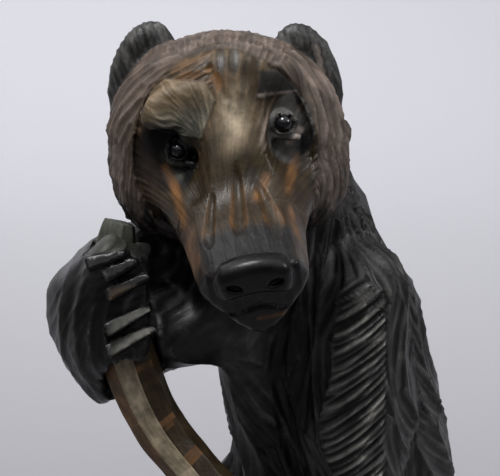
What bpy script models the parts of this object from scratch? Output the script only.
import math

import bmesh
import bpy
import numpy as np
from mathutils import Matrix, Vector

# Driving sizes, metres
TOTAL_HEIGHT = 0.585
BASE_HEIGHT = 0.034
BASE_LENGTH_X = 0.262
BASE_DEPTH_Y = 0.245
BRANCH_DIAMETER = 0.038
EYE_DIAMETER = 0.0104
EYE_CLEARANCE = 0.0003
GRIP_CLEARANCE = 0.0004
BRANCH_FOOT_GAP = 0.0003
GOUGE_WIDTH = 0.017
GOUGE_LENGTH = 0.058
GOUGE_DEPTH = 0.0013
HEAD_LEAN = -8.0
GRID_STEP = 0.0034
BEAR_TRIANGLES = 8300
BRANCH_FACETS = 7
BRANCH_RINGS = 15

# The pose is written in parts of the height: one unit is 1/585 of it
UNIT = TOTAL_HEIGHT / 585.0

# Muzzle and nose in the units above
NOSE_HALF = 22
MUZZLE_TOP_HALF = 24
MUZZLE_LIP_HALF = 31.5
MUZZLE_LIP_DROP = 23
CHIN_DROP = 55

# Ears and the right paw's claws in the units above: across, up and, for the ears, lean in degrees
EARS = ((-158, 542, 14), (-46, 541, -16))
CLAW_STARTS = ((-188, 442), (-177, 434), (-176, 421), (-178, 396), (-178, 381))
CLAW_TIPS = ((-161, 449), (-156, 443), (-149, 433), (-150, 410), (-147, 396))

# Middle of the base in the units above; the row's origin is put there
BASE_MIDDLE_X = -22
BASE_MIDDLE_Y = 12


def at(x, y, z):
    return np.array((x, y, z), dtype=float) * UNIT


# Landmarks of the pose; the bear faces -Y and its right side is -X
HEAD = at(-101, 0, 505)
EYE_RIGHT = at(-129.7, -59.5, 512.7)
EYE_LEFT = at(-64.3, -57.5, 529.2)
NOSE_TOP = at(-84, -149, 471)
BRANCH_PATH = (
    at(-172, -33, 458),
    at(-178, -39, 414),
    at(-169, -47, 362),
    at(-151, -53, 316),
    at(-121, -60, 275),
    at(-82, -72, 232),
    at(-60, -82, 180),
    at(-52, -86, 110),
    at(-56, -88, 34),
)


# Distance fields: negative inside, metres
def length(v):
    return np.sqrt((v * v).sum(axis=1))


def turned(p, centre, angles):
    q = p - centre
    for axis, angle in zip((0, 1, 2), angles):
        if angle:
            c = math.cos(math.radians(angle))
            s = math.sin(math.radians(angle))
            i, j = [(1, 2), (2, 0), (0, 1)][axis]
            a = q[:, i] * c + q[:, j] * s
            b = q[:, j] * c - q[:, i] * s
            q = q.copy()
            q[:, i] = a
            q[:, j] = b
    return q


def ellipsoid(p, centre, radii, angles=(0, 0, 0)):
    q = turned(p, centre, angles)
    r = np.array(radii) * UNIT
    k0 = length(q / r)
    k1 = length(q / (r * r)) + 1e-9
    return k0 * (k0 - 1.0) / k1


def limb(p, a, b, ra, rb):
    ba = b - a
    t = np.clip(((p - a) @ ba) / (ba @ ba), 0, 1)
    return length(p - a - t[:, None] * ba) - (ra + (rb - ra) * t) * UNIT


def block(p, centre, half, angles=(0, 0, 0), soft=0.0):
    q = np.abs(turned(p, centre, angles)) - (np.array(half) - soft) * UNIT
    outside = length(np.maximum(q, 0))
    return outside + np.minimum(q.max(axis=1), 0) - soft * UNIT


# Tapered bar from a to b; the halves are its width and its height at both ends
def wedge(p, a, b, half_a, half_b, soft, roll=0.0):
    along = b - a
    run = math.sqrt(along @ along)
    along = along / run
    side = np.cross(along, (0, 0, 1.0))
    side /= math.sqrt(side @ side)
    up = np.cross(side, along)
    c = math.cos(math.radians(roll))
    s = math.sin(math.radians(roll))
    side, up = side * c + up * s, up * c - side * s
    q = p - a
    t = q @ along
    f = np.clip(t / run, 0, 1)
    soft = soft * UNIT
    w = (half_a[0] + (half_b[0] - half_a[0]) * f) * UNIT
    h = (half_a[1] + (half_b[1] - half_a[1]) * f) * UNIT
    box = (np.abs(q @ side) - w, np.abs(q @ up) - h, np.abs(t - run / 2) - run / 2)
    box = np.stack(box, axis=1) + soft
    return length(np.maximum(box, 0)) + np.minimum(box.max(axis=1), 0) - soft


def join(a, b, k):
    k = k * UNIT
    h = np.clip(0.5 + 0.5 * (b - a) / k, 0, 1)
    return b + (a - b) * h - k * h * (1 - h)


def carve_off(a, b, k):
    return -join(-a, b, k)


# Takes off what lies past a plane, given as the distance in front of it
def trim(a, past, k):
    return -join(-a, -past, k)


# Gouge cuts: shallow hollows side by side with sharp ridges between them
def hashed(i, j, seed):
    n = np.sin(i * 127.1 + j * 311.7 + seed * 74.7) * 43758.5453
    return n - np.floor(n)


def gouges(across, along, width, run, seed):
    a = across / width
    b = along / run
    ia = np.floor(a)
    best = np.full(a.shape, 9.0)
    for da in (-1, 0, 1):
        ca = ia + da
        shift = hashed(ca, ca * 0 + 3, seed)
        ib = np.floor(b + shift)
        for db in (-1, 0, 1):
            cb = ib + db
            ja = ca + 0.5 + 0.5 * (hashed(ca, cb, seed) - 0.5)
            jb = cb + 0.5 + 0.5 * (hashed(cb, ca, seed + 5) - 0.5) - shift
            low = 0.16 * hashed(ca, cb, seed + 9)
            best = np.minimum(best, (a - ja) ** 2 + 0.5 * (b - jb) ** 2 + low)
    return best - 0.16


def smooth_step(x, low, high):
    t = np.clip((x - low) / (high - low), 0, 1)
    return t * t * (3 - 2 * t)


def body_field(p):
    d = ellipsoid(p, at(-26, 62, 140), (98, 84, 100))
    d = join(d, ellipsoid(p, at(-18, 52, 245), (77, 74, 120)), 34)
    d = join(d, ellipsoid(p, at(-34, 46, 350), (66, 68, 92)), 34)
    d = join(d, ellipsoid(p, at(-60, 62, 426), (62, 56, 60)), 30)
    d = join(d, limb(p, at(-72, 48, 440), at(-99, 8, 488), 60, 62), 24)
    # Left flank and the fold of fur down to the hip
    d = join(d, limb(p, at(1, 46, 355), at(32, 52, 215), 46, 53), 24)
    # Right flank, the ridge beside the belly hollow
    d = join(d, limb(p, at(-92, 2, 352), at(-60, 0, 215), 21, 25), 16)
    # Chest under the chin
    d = join(d, limb(p, at(-100, -2, 410), at(-96, -6, 372), 34, 22), 22)
    # Hollow of the belly between the right flank and the left arm
    d = carve_off(d, limb(p, at(-62, -34, 372), at(-56, -34, 250), 15, 17), 12)
    return d


def legs_field(p):
    d = limb(p, at(34, 40, 150), at(44, 22, 60), 54, 44)
    d = join(d, limb(p, at(-88, 40, 150), at(-98, 22, 60), 52, 44), 16)
    d = join(d, limb(p, at(-26, 70, 130), at(-26, 74, 40), 62, 60), 24)
    for side in (46, -102):
        d = join(d, ellipsoid(p, at(side, -24, 46), (38, 62, 27)), 14)
        for toe in range(5):
            x = side + (toe - 2) * 14
            start = at(x, -62 + abs(toe - 2) * 5, 50)
            tip = at(x + (toe - 2) * 1.5, -90 + abs(toe - 2) * 6, 37)
            d = join(d, limb(p, start, tip, 10, 4), 5)
    return d


def base_field(p):
    half_x = BASE_LENGTH_X / 2 / UNIT
    half_y = BASE_DEPTH_Y / 2 / UNIT
    centre = at(BASE_MIDDLE_X, BASE_MIDDLE_Y, 0)
    q = p - centre
    angle = np.arctan2(q[:, 1] / half_y, q[:, 0] / half_x)
    side = np.sqrt((q[:, 0] / half_x) ** 4 + (q[:, 1] / half_y) ** 4) ** 0.5
    wave = 0.035 * np.sin(3 * angle + 0.7) + 0.022 * np.sin(7 * angle + 2.0)
    rim = (side / UNIT - 1.0 - wave) * min(half_x, half_y) * UNIT
    top = p[:, 2] - BASE_HEIGHT + 0.10 * np.maximum(rim + 0.03, 0)
    return -join(-rim, -top, 8)


def left_arm_field(p):
    shoulder = at(-8, 8, 388)
    elbow = at(-4, -10, 300)
    wrist = at(-4, -30, 205)
    d = limb(p, shoulder, elbow, 38, 40)
    d = join(d, limb(p, elbow, wrist, 40, 34), 20)
    # Flat front of the arm, where the ribbed panel is
    front = -p[:, 1] - 28 * UNIT - 0.185 * (400 * UNIT - p[:, 2])
    d = trim(d, front, 5)
    # and the bevel between it and the outer side
    bevel = 0.72 * (p[:, 0] - 10 * UNIT) + 0.70 * front
    d = trim(d, bevel, 4)
    d = join(d, ellipsoid(p, at(-6, -36, 182), (34, 27, 36)), 14)
    for toe in range(5):
        x = -6 + (toe - 2) * 12.5
        start = at(x, -54, 168 + abs(toe - 2) * 2)
        tip = at(x, -62, 140 + abs(toe - 2) * 4)
        d = join(d, limb(p, start, tip, 9, 3.5), 5)
    return d


def right_arm_field(p):
    elbow = at(-172, 6, 413)
    d = limb(p, at(-116, 32, 416), elbow, 39, 25)
    d = join(d, limb(p, elbow, at(-188, -20, 404), 25, 26), 12)
    # Back of the paw, bent down round the branch
    d = join(d, ellipsoid(p, at(-190, -28, 386), (33, 43, 56), (0, -5, 0)), 12)
    d = join(d, ellipsoid(p, at(-193, -32, 349), (14, 21, 29), (0, -10, 0)), 10)
    # Knuckles, and the pads that close over the branch
    d = join(d, block(p, at(-182, -48, 409), (13, 23, 45), (0, 6, 12), 12), 12)
    d = join(d, block(p, at(-166, -56, 408), (15, 16, 38), (0, 2, 0), 6), 4)
    # Forearm coming from under the chin
    d = join(d, limb(p, at(-100, 4, 375), at(-170, -16, 366), 36, 34), 14)
    # Slope of the wrist from the cheek down to the back of the paw
    wrist = -0.70 * (p[:, 0] + 204 * UNIT) + 0.71 * (p[:, 2] - 429 * UNIT)
    return trim(d, wrist, 6)


def claws_field(p):
    d = None
    for (x0, z0), (x1, z1) in zip(CLAW_STARTS, CLAW_TIPS):
        start = at(x0, -76, z0)
        tip = at(x1, -71, z1)
        one = wedge(p, start, tip, (5.5, 4.75), (2.75, 2.15), 1.0, 34)
        d = one if d is None else np.minimum(d, one)
    return d


# Across the muzzle, up from its top plane and back from the nose
def muzzle_place(p):
    along = np.array((7, -66, -25.0))
    along /= math.sqrt(along @ along)
    lean = math.radians(-HEAD_LEAN)
    side = np.array((math.cos(lean), 0, math.sin(lean)))
    side -= (side @ along) * along
    side /= math.sqrt(side @ side)
    up = np.cross(along, side)
    q = p - NOSE_TOP
    return q @ side, q @ up, -(q @ along)


# Planes of the muzzle: top, sides leaning out to the lips, sides of the jaw, chin, front
def muzzle_field(p):
    across, up, back = muzzle_place(p)
    behind = np.maximum(back, 0)
    out = np.abs(across + 0.045 * behind)
    top_half = MUZZLE_TOP_HALF * UNIT + 0.03 * behind
    lip_half = MUZZLE_LIP_HALF * UNIT + 0.15 * behind
    lean = (lip_half - top_half) / (MUZZLE_LIP_DROP * UNIT)
    below = up + MUZZLE_LIP_DROP * UNIT
    d = up + 10 * out * out / (1 + 20 * behind)
    d = trim(d, (out - top_half + lean * up) / np.sqrt(1 + lean * lean), 5)
    d = trim(d, 0.86 * (out - lip_half) - 0.51 * below, 4)
    d = trim(d, 0.70 * (out - 0.68 * lip_half) - 0.71 * (below + 15 * UNIT), 8)
    d = trim(d, -up - CHIN_DROP * UNIT - 0.21 * behind, 6)
    d = trim(d, -back - 1.0 * UNIT + 6 * across * across, 5)
    return np.maximum(d, back - 100 * UNIT)


def nose_pad_field(p):
    across, up, back = muzzle_place(p)
    arch = up + 9.5 * UNIT + 12 * across * across
    taper = 0.22 * np.maximum(-arch, 0)
    width = np.abs(across) - NOSE_HALF * UNIT + taper
    height = np.abs(arch) - 11.5 * UNIT
    depth = np.abs(back - 3.5 * UNIT) - 7 * UNIT
    q = np.stack((width, height, depth), axis=1) + 6 * UNIT
    return length(np.maximum(q, 0)) + np.minimum(q.max(axis=1), 0) - 6 * UNIT


def head_field(p):
    d = ellipsoid(p, HEAD, (80, 72, 72.8))
    # Flatter face, so that the ruff stands round it as a rim
    d = trim(d, -(p[:, 1] + 58 * UNIT) + 0.10 * (p[:, 2] - HEAD[2]), 10)
    # Cheeks at both sides of the muzzle
    for x, z in ((-151, 476), (-43, 482)):
        d = join(d, ellipsoid(p, at(x, -8, z), (24, 41, 32)), 14)
    # The face lies a little lower than the ruff
    oval = ((p[:, 0] / UNIT + 102) / 57) ** 2 + ((p[:, 2] / UNIT - 505) / 68) ** 2
    sunk = (1 - smooth_step(oval, 0.95, 1.02)) * smooth_step(-p[:, 1], 8 * UNIT, 20 * UNIT)
    d = d + 3.0 * UNIT * sunk
    # Forehead, bridge and the two brows
    d = join(d, ellipsoid(p, at(-100, -41, 548), (47, 21, 26), (0, -10, 0)), 10)
    bridge = wedge(p, at(-100, -48, 549), at(-88, -82, 474), (20, 12), (25, 12), 8, HEAD_LEAN)
    d = join(d, bridge, 10)
    brow = ellipsoid(p, at(-130, -57, 539), (23, 13.5, 13), (0, -20, 0))
    brow = join(brow, ellipsoid(p, at(-117, -62, 528), (11, 8, 15), (0, 24, 0)), 5)
    d = join(d, brow, 3)
    d = join(d, ellipsoid(p, at(-69, -54, 552), (15, 10, 7.5), (0, -4, 0)), 4)
    # Cheekbones beside the muzzle, and the muzzle
    d = join(d, limb(p, at(-128, -50, 480), at(-112, -84, 470), 17, 13), 10)
    d = join(d, limb(p, at(-52, -46, 488), at(-64, -82, 478), 15, 12), 10)
    d = join(d, muzzle_field(p), 9)
    # Eye hollows, deepest under the brow, with lids round each eye
    d = carve_off(d, ellipsoid(p, at(-139, -79, 508), (20.5, 21, 20.5), (0, -20, 0)), 1.5)
    d = carve_off(d, limb(p, at(-122, -80, 516), at(-121, -86, 496), 10, 8), 5)
    d = carve_off(d, ellipsoid(p, at(-60, -76, 524), (15.5, 20, 22), (0, 8, 0)), 1.5)
    for eye, tilt in ((EYE_RIGHT, -20), (EYE_LEFT, -6)):
        lids = ellipsoid(p, eye + at(0, 1.5, 0), (9, 7, 8.2), (0, tilt, 0))
        lids = carve_off(lids, ellipsoid(p, eye + at(0.5, -6, 0), (4.7, 6.5, 5.4), (0, tilt, 0)), 1)
        d = join(d, lids, 3)
    # Nose pad with its nostrils
    d = join(d, nose_pad_field(p), 1.2)
    across, up, back = muzzle_place(p)
    for side in (-1, 1):
        away = np.stack((across - side * 11.5 * UNIT, up + 12 * UNIT, back + 5.5 * UNIT), axis=1)
        nostril = length(away / np.array((5.2, 2.6, 6.5))) - UNIT
        d = carve_off(d, nostril * 2.6, 1.2)
    # Tuft behind the left cheek
    d = join(d, ellipsoid(p, at(-19, 28, 502), (6, 12, 10)), 4)
    return d


def ears_field(p):
    d = None
    for x, z, lean in EARS:
        centre = at(x, 16, z)
        one = ellipsoid(p, centre, (23.5, 13, 41), (0, lean, 0))
        cup = ellipsoid(p, centre + at(0, -14, 4), (14, 7, 29), (0, lean, 0))
        one = carve_off(one, cup, 6)
        d = one if d is None else np.minimum(d, one)
    return d


def bear_field(p, carved=True):
    d = join(body_field(p), legs_field(p), 26)
    d = join(d, left_arm_field(p), 9)
    d = join(d, right_arm_field(p), 14)
    d = join(d, base_field(p), 8)
    if carved:
        # Long cuts of the fur run down the body, round its upright axis
        q = p - at(-30, 50, 0)
        turn = np.arctan2(q[:, 0], -q[:, 1]) * 0.085
        lean = 0.012 * np.sin(p[:, 2] * 24)
        cut = gouges(turn + lean, p[:, 2], GOUGE_WIDTH, GOUGE_LENGTH, 3)
        d = d - GOUGE_DEPTH * 3.4 * (cut - 0.12)
    head = join(head_field(p), ears_field(p), 3)
    if carved:
        q = p - HEAD
        turn = np.arctan2(q[:, 0], q[:, 2]) * 0.079
        ring = np.sqrt(q[:, 0] ** 2 + q[:, 2] ** 2) + q[:, 1]
        cut = gouges(ring, turn, GOUGE_WIDTH * 0.8, GOUGE_LENGTH * 0.7, 8)
        ruff = smooth_step(q[:, 1], -0.066, -0.052)
        head = head - GOUGE_DEPTH * 2.8 * (cut - 0.12) * ruff
    d = join(d, head, 9)
    return join(d, claws_field(p), 3)


# Values on a fine grid, worked out only near the surface
def grid_values(field, low, cells, step):
    coarse = [low[i] + 4 * step * np.arange(cells[i] // 4 + 1) for i in range(3)]
    grid = np.meshgrid(*coarse, indexing="ij")
    rough = field(np.stack([g.ravel() for g in grid], axis=1), False)
    rough = rough.reshape([len(c) for c in coarse])
    close = np.abs(rough) < 8.0 * step
    size = [n - 1 for n in rough.shape]
    blocks = np.zeros(size, dtype=bool)
    for i, j, k in ((i, j, k) for i in (0, 1) for j in (0, 1) for k in (0, 1)):
        blocks |= close[i:i + size[0], j:j + size[1], k:k + size[2]]
    fine = blocks.repeat(4, 0).repeat(4, 1).repeat(4, 2)
    mask = np.zeros([n + 1 for n in fine.shape], dtype=bool)
    for i, j, k in ((i, j, k) for i in (0, 1) for j in (0, 1) for k in (0, 1)):
        mask[i:i + cells[0], j:j + cells[1], k:k + cells[2]] |= fine
    values = np.ones(mask.shape)
    far = rough[:-1, :-1, :-1].repeat(4, 0).repeat(4, 1).repeat(4, 2)
    values[:-1, :-1, :-1] = far
    where = np.argwhere(mask)
    values[mask] = field(where * step + np.array(low), True)
    return values


# Corners that meet only across a diagonal are joined, so that no edge is shared
def without_diagonals(values, tiny):
    for turn in range(20):
        changed = 0
        for u, v in ((0, 1), (0, 2), (1, 2)):
            w = 3 - u - v
            order = (u, v, w)
            f = values.transpose(order)
            a, b = f[:-1, :-1], f[1:, :-1]
            c, d = f[:-1, 1:], f[1:, 1:]
            one = (a < 0) & (d < 0) & (b >= 0) & (c >= 0)
            two = (a >= 0) & (d >= 0) & (b < 0) & (c < 0)
            b[one] = -tiny
            a[two & ~one] = -tiny
            changed += int(one.sum() + two.sum())
        size = [n - 1 for n in values.shape]
        corners = [(i, j, k) for i in (0, 1) for j in (0, 1) for k in (0, 1)]
        part = [values[i:i + size[0], j:j + size[1], k:k + size[2]] for i, j, k in corners]
        count = sum((q < 0).astype(int) for q in part)
        for i in range(4):
            a, b = part[i], part[7 - i]
            thin = (count == 2) & (a < 0) & (b < 0)
            hole = (count == 6) & (a >= 0) & (b >= 0)
            part[i ^ 1][thin] = -tiny
            a[hole] = -tiny
            changed += int(thin.sum() + hole.sum())
        if not changed:
            break


# Surface of a distance field, one point in each cell that it crosses
def surface_of(field, low, high, step):
    cells = [4 * int(math.ceil((high[i] - low[i]) / step / 4)) for i in range(3)]
    values = grid_values(field, low, cells, step)
    without_diagonals(values, 0.05 * step)
    inside = values < 0
    total = np.zeros(cells + [3])
    hits = np.zeros(cells)

    def corner(a, c):
        return a[c[0]:c[0] + cells[0], c[1]:c[1] + cells[1], c[2]:c[2] + cells[2]]

    for c in ((i, j, k) for i in (0, 1) for j in (0, 1) for k in (0, 1)):
        for axis in range(3):
            if c[axis]:
                continue
            e = list(c)
            e[axis] = 1
            va = corner(values, c)
            vb = corner(values, e)
            crosses = (va < 0) != (vb < 0)
            t = np.where(crosses, va / np.where(crosses, va - vb, 1.0), 0.0)
            for k in range(3):
                total[..., k] += t if k == axis else np.where(crosses, c[k], 0)
            hits += crosses
    used = hits > 0
    number = np.full(cells, -1)
    number[used] = np.arange(used.sum())
    where = np.argwhere(used)
    verts = (where + total[used] / hits[used][:, None]) * step + np.array(low)
    faces = []
    for axis in range(3):
        u, v = (axis + 1) % 3, (axis + 2) % 3
        a = inside.take(range(0, cells[axis]), axis)
        b = inside.take(range(1, cells[axis] + 1), axis)
        edges = np.argwhere(a != b)
        edges = edges[(edges[:, u] > 0) & (edges[:, v] > 0)]
        edges = edges[(edges[:, u] < cells[u]) & (edges[:, v] < cells[v])]
        starts = a[tuple(edges.T)]
        ring = []
        for du, dv in ((-1, -1), (0, -1), (0, 0), (-1, 0)):
            e = edges.copy()
            e[:, u] += du
            e[:, v] += dv
            ring.append(number[tuple(e.T)])
        quads = np.stack(ring, axis=1)
        faces.append(np.where(starts[:, None], quads, quads[:, ::-1]))
    return verts, np.concatenate(faces)


def clear_scene():
    for obj in list(bpy.data.objects):
        bpy.data.objects.remove(obj, do_unlink=True)


def material(name, colour, roughness, metallic=0.0):
    mat = bpy.data.materials.new(name)
    mat.use_nodes = True
    shader = mat.node_tree.nodes["Principled BSDF"]
    shader.inputs["Base Color"].default_value = (*colour, 1.0)
    shader.inputs["Roughness"].default_value = roughness
    shader.inputs["Metallic"].default_value = metallic
    mat.diffuse_color = (*colour, 1.0)
    return mat


def new_object(name, mesh, mat=None):
    obj = bpy.data.objects.new(name, mesh)
    bpy.context.scene.collection.objects.link(obj)
    if mat:
        mesh.materials.append(mat)
    return obj


def as_cutter(obj):
    obj.hide_render = True
    obj.display_type = "WIRE"
    return obj


def ball(name, centre, radius, mat=None):
    mesh = bpy.data.meshes.new(name)
    bm = bmesh.new()
    bmesh.ops.create_icosphere(bm, subdivisions=2, radius=radius)
    bmesh.ops.translate(bm, vec=Vector(centre), verts=bm.verts)
    bm.to_mesh(mesh)
    bm.free()
    return new_object(name, mesh, mat)


def path_point(t):
    points = BRANCH_PATH
    n = len(points) - 1
    i = min(int(t * n), n - 1)
    f = t * n - i
    a = points[max(i - 1, 0)]
    b = points[i]
    c = points[i + 1]
    d = points[min(i + 2, n)]
    return 0.5 * (2 * b + (c - a) * f + (2 * a - 5 * b + 4 * c - d) * f * f
                  + (3 * b - a - 3 * c + d) * f ** 3)


def branch_mesh(name, extra, foot, top_rise=0.0):
    mesh = bpy.data.meshes.new(name)
    bm = bmesh.new()
    rings = []
    for i in range(BRANCH_RINGS + 1):
        t = i / BRANCH_RINGS
        centre = path_point(t)
        ahead = path_point(min(t + 0.02, 1.0)) - path_point(max(t - 0.02, 0.0))
        ahead = Vector(ahead).normalized()
        side = ahead.cross(Vector((0, 1, 0))).normalized()
        front = side.cross(ahead).normalized()
        swell = 1.0 + 0.10 * math.sin(7 * t + 1.0) + 0.22 * t
        swell = swell * (1.0 - 0.45 * max(0.0, 1.0 - t / 0.15))
        radius = BRANCH_DIAMETER / 2 * swell + extra
        ring = []
        for k in range(BRANCH_FACETS):
            angle = 2 * math.pi * (k + 0.35) / BRANCH_FACETS
            reach = radius * (1 + 0.07 * math.cos(2 * angle + 5 * t))
            spot = Vector(centre) + side * math.cos(angle) * reach
            spot = spot + front * math.sin(angle) * reach
            if i == BRANCH_RINGS:
                spot.z = foot
            if i == 0:
                spot.z += 0.45 * (spot.x - centre[0]) + top_rise
            ring.append(bm.verts.new(spot))
        rings.append(ring)
    for a, b in zip(rings, rings[1:]):
        for k in range(BRANCH_FACETS):
            j = (k + 1) % BRANCH_FACETS
            bm.faces.new((a[k], a[j], b[j]))
            bm.faces.new((a[k], b[j], b[k]))
    bm.faces.new(rings[0][::-1])
    bm.faces.new(rings[-1])
    bmesh.ops.recalc_face_normals(bm, faces=bm.faces)
    bm.to_mesh(mesh)
    bm.free()
    return mesh


def triangulated(mesh):
    bm = bmesh.new()
    bm.from_mesh(mesh)
    bmesh.ops.triangulate(bm, faces=bm.faces)
    bm.to_mesh(mesh)
    bm.free()


def make_bear(mat):
    low = at(-245, -180, -12)
    high = at(135, 175, 598)
    verts, faces = surface_of(bear_field, low, high, GRID_STEP)
    mesh = bpy.data.meshes.new("bear")
    mesh.from_pydata(verts.tolist(), [], faces.tolist())
    bm = bmesh.new()
    bm.from_mesh(mesh)
    bmesh.ops.triangulate(bm, faces=bm.faces)
    bm.to_mesh(mesh)
    bm.free()
    obj = new_object("bear", mesh, mat)
    thin = obj.modifiers.new("fewer triangles", "DECIMATE")
    thin.ratio = BEAR_TRIANGLES / len(mesh.polygons)
    bpy.context.view_layer.update()
    found = obj.evaluated_get(bpy.context.evaluated_depsgraph_get())
    finished = bpy.data.meshes.new_from_object(found)
    obj.modifiers.clear()
    obj.data = finished
    # Flat underside at z = 0
    bm = bmesh.new()
    bm.from_mesh(finished)
    every = list(bm.verts) + list(bm.edges) + list(bm.faces)
    cut = bmesh.ops.bisect_plane(bm, geom=every, plane_co=(0, 0, 0),
                                 plane_no=(0, 0, 1), clear_inner=True)
    rim = [e for e in cut["geom_cut"] if isinstance(e, bmesh.types.BMEdge)]
    bmesh.ops.edgeloop_fill(bm, edges=rim)
    bmesh.ops.recalc_face_normals(bm, faces=bm.faces)
    bmesh.ops.triangulate(bm, faces=bm.faces)
    bm.to_mesh(finished)
    bm.free()
    print("bear triangles", len(finished.polygons))
    return obj


def subtract(obj, cutter):
    cut = obj.modifiers.new("cut " + cutter.name, "BOOLEAN")
    cut.operation = "DIFFERENCE"
    cut.solver = "EXACT"
    cut.object = cutter


def build():
    clear_scene()
    dark = material("dark_stained_wood", (0.035, 0.032, 0.030), 0.42)
    tan = material("worn_branch_wood", (0.26, 0.17, 0.085), 0.5)
    glass = material("black_glass", (0.008, 0.008, 0.010), 0.06)
    bear = make_bear(dark)
    foot = BASE_HEIGHT * 0.86 + BRANCH_FOOT_GAP
    hollow = branch_mesh("grip_cutter", GRIP_CLEARANCE, foot - BRANCH_FOOT_GAP, 0.001)
    subtract(bear, as_cutter(new_object("grip_cutter", hollow)))
    for name, spot in (("eye_right", EYE_RIGHT), ("eye_left", EYE_LEFT)):
        pocket = ball(name + "_pocket", spot, EYE_DIAMETER / 2 + EYE_CLEARANCE * 1.3)
        subtract(bear, as_cutter(pocket))
        ball(name, spot, EYE_DIAMETER / 2, glass)
    new_object("branch", branch_mesh("branch", 0.0, foot), tan)
    middle = Vector(at(-BASE_MIDDLE_X, -BASE_MIDDLE_Y, 0))
    for obj in bpy.data.objects:
        obj.data.transform(Matrix.Translation(middle))


build()
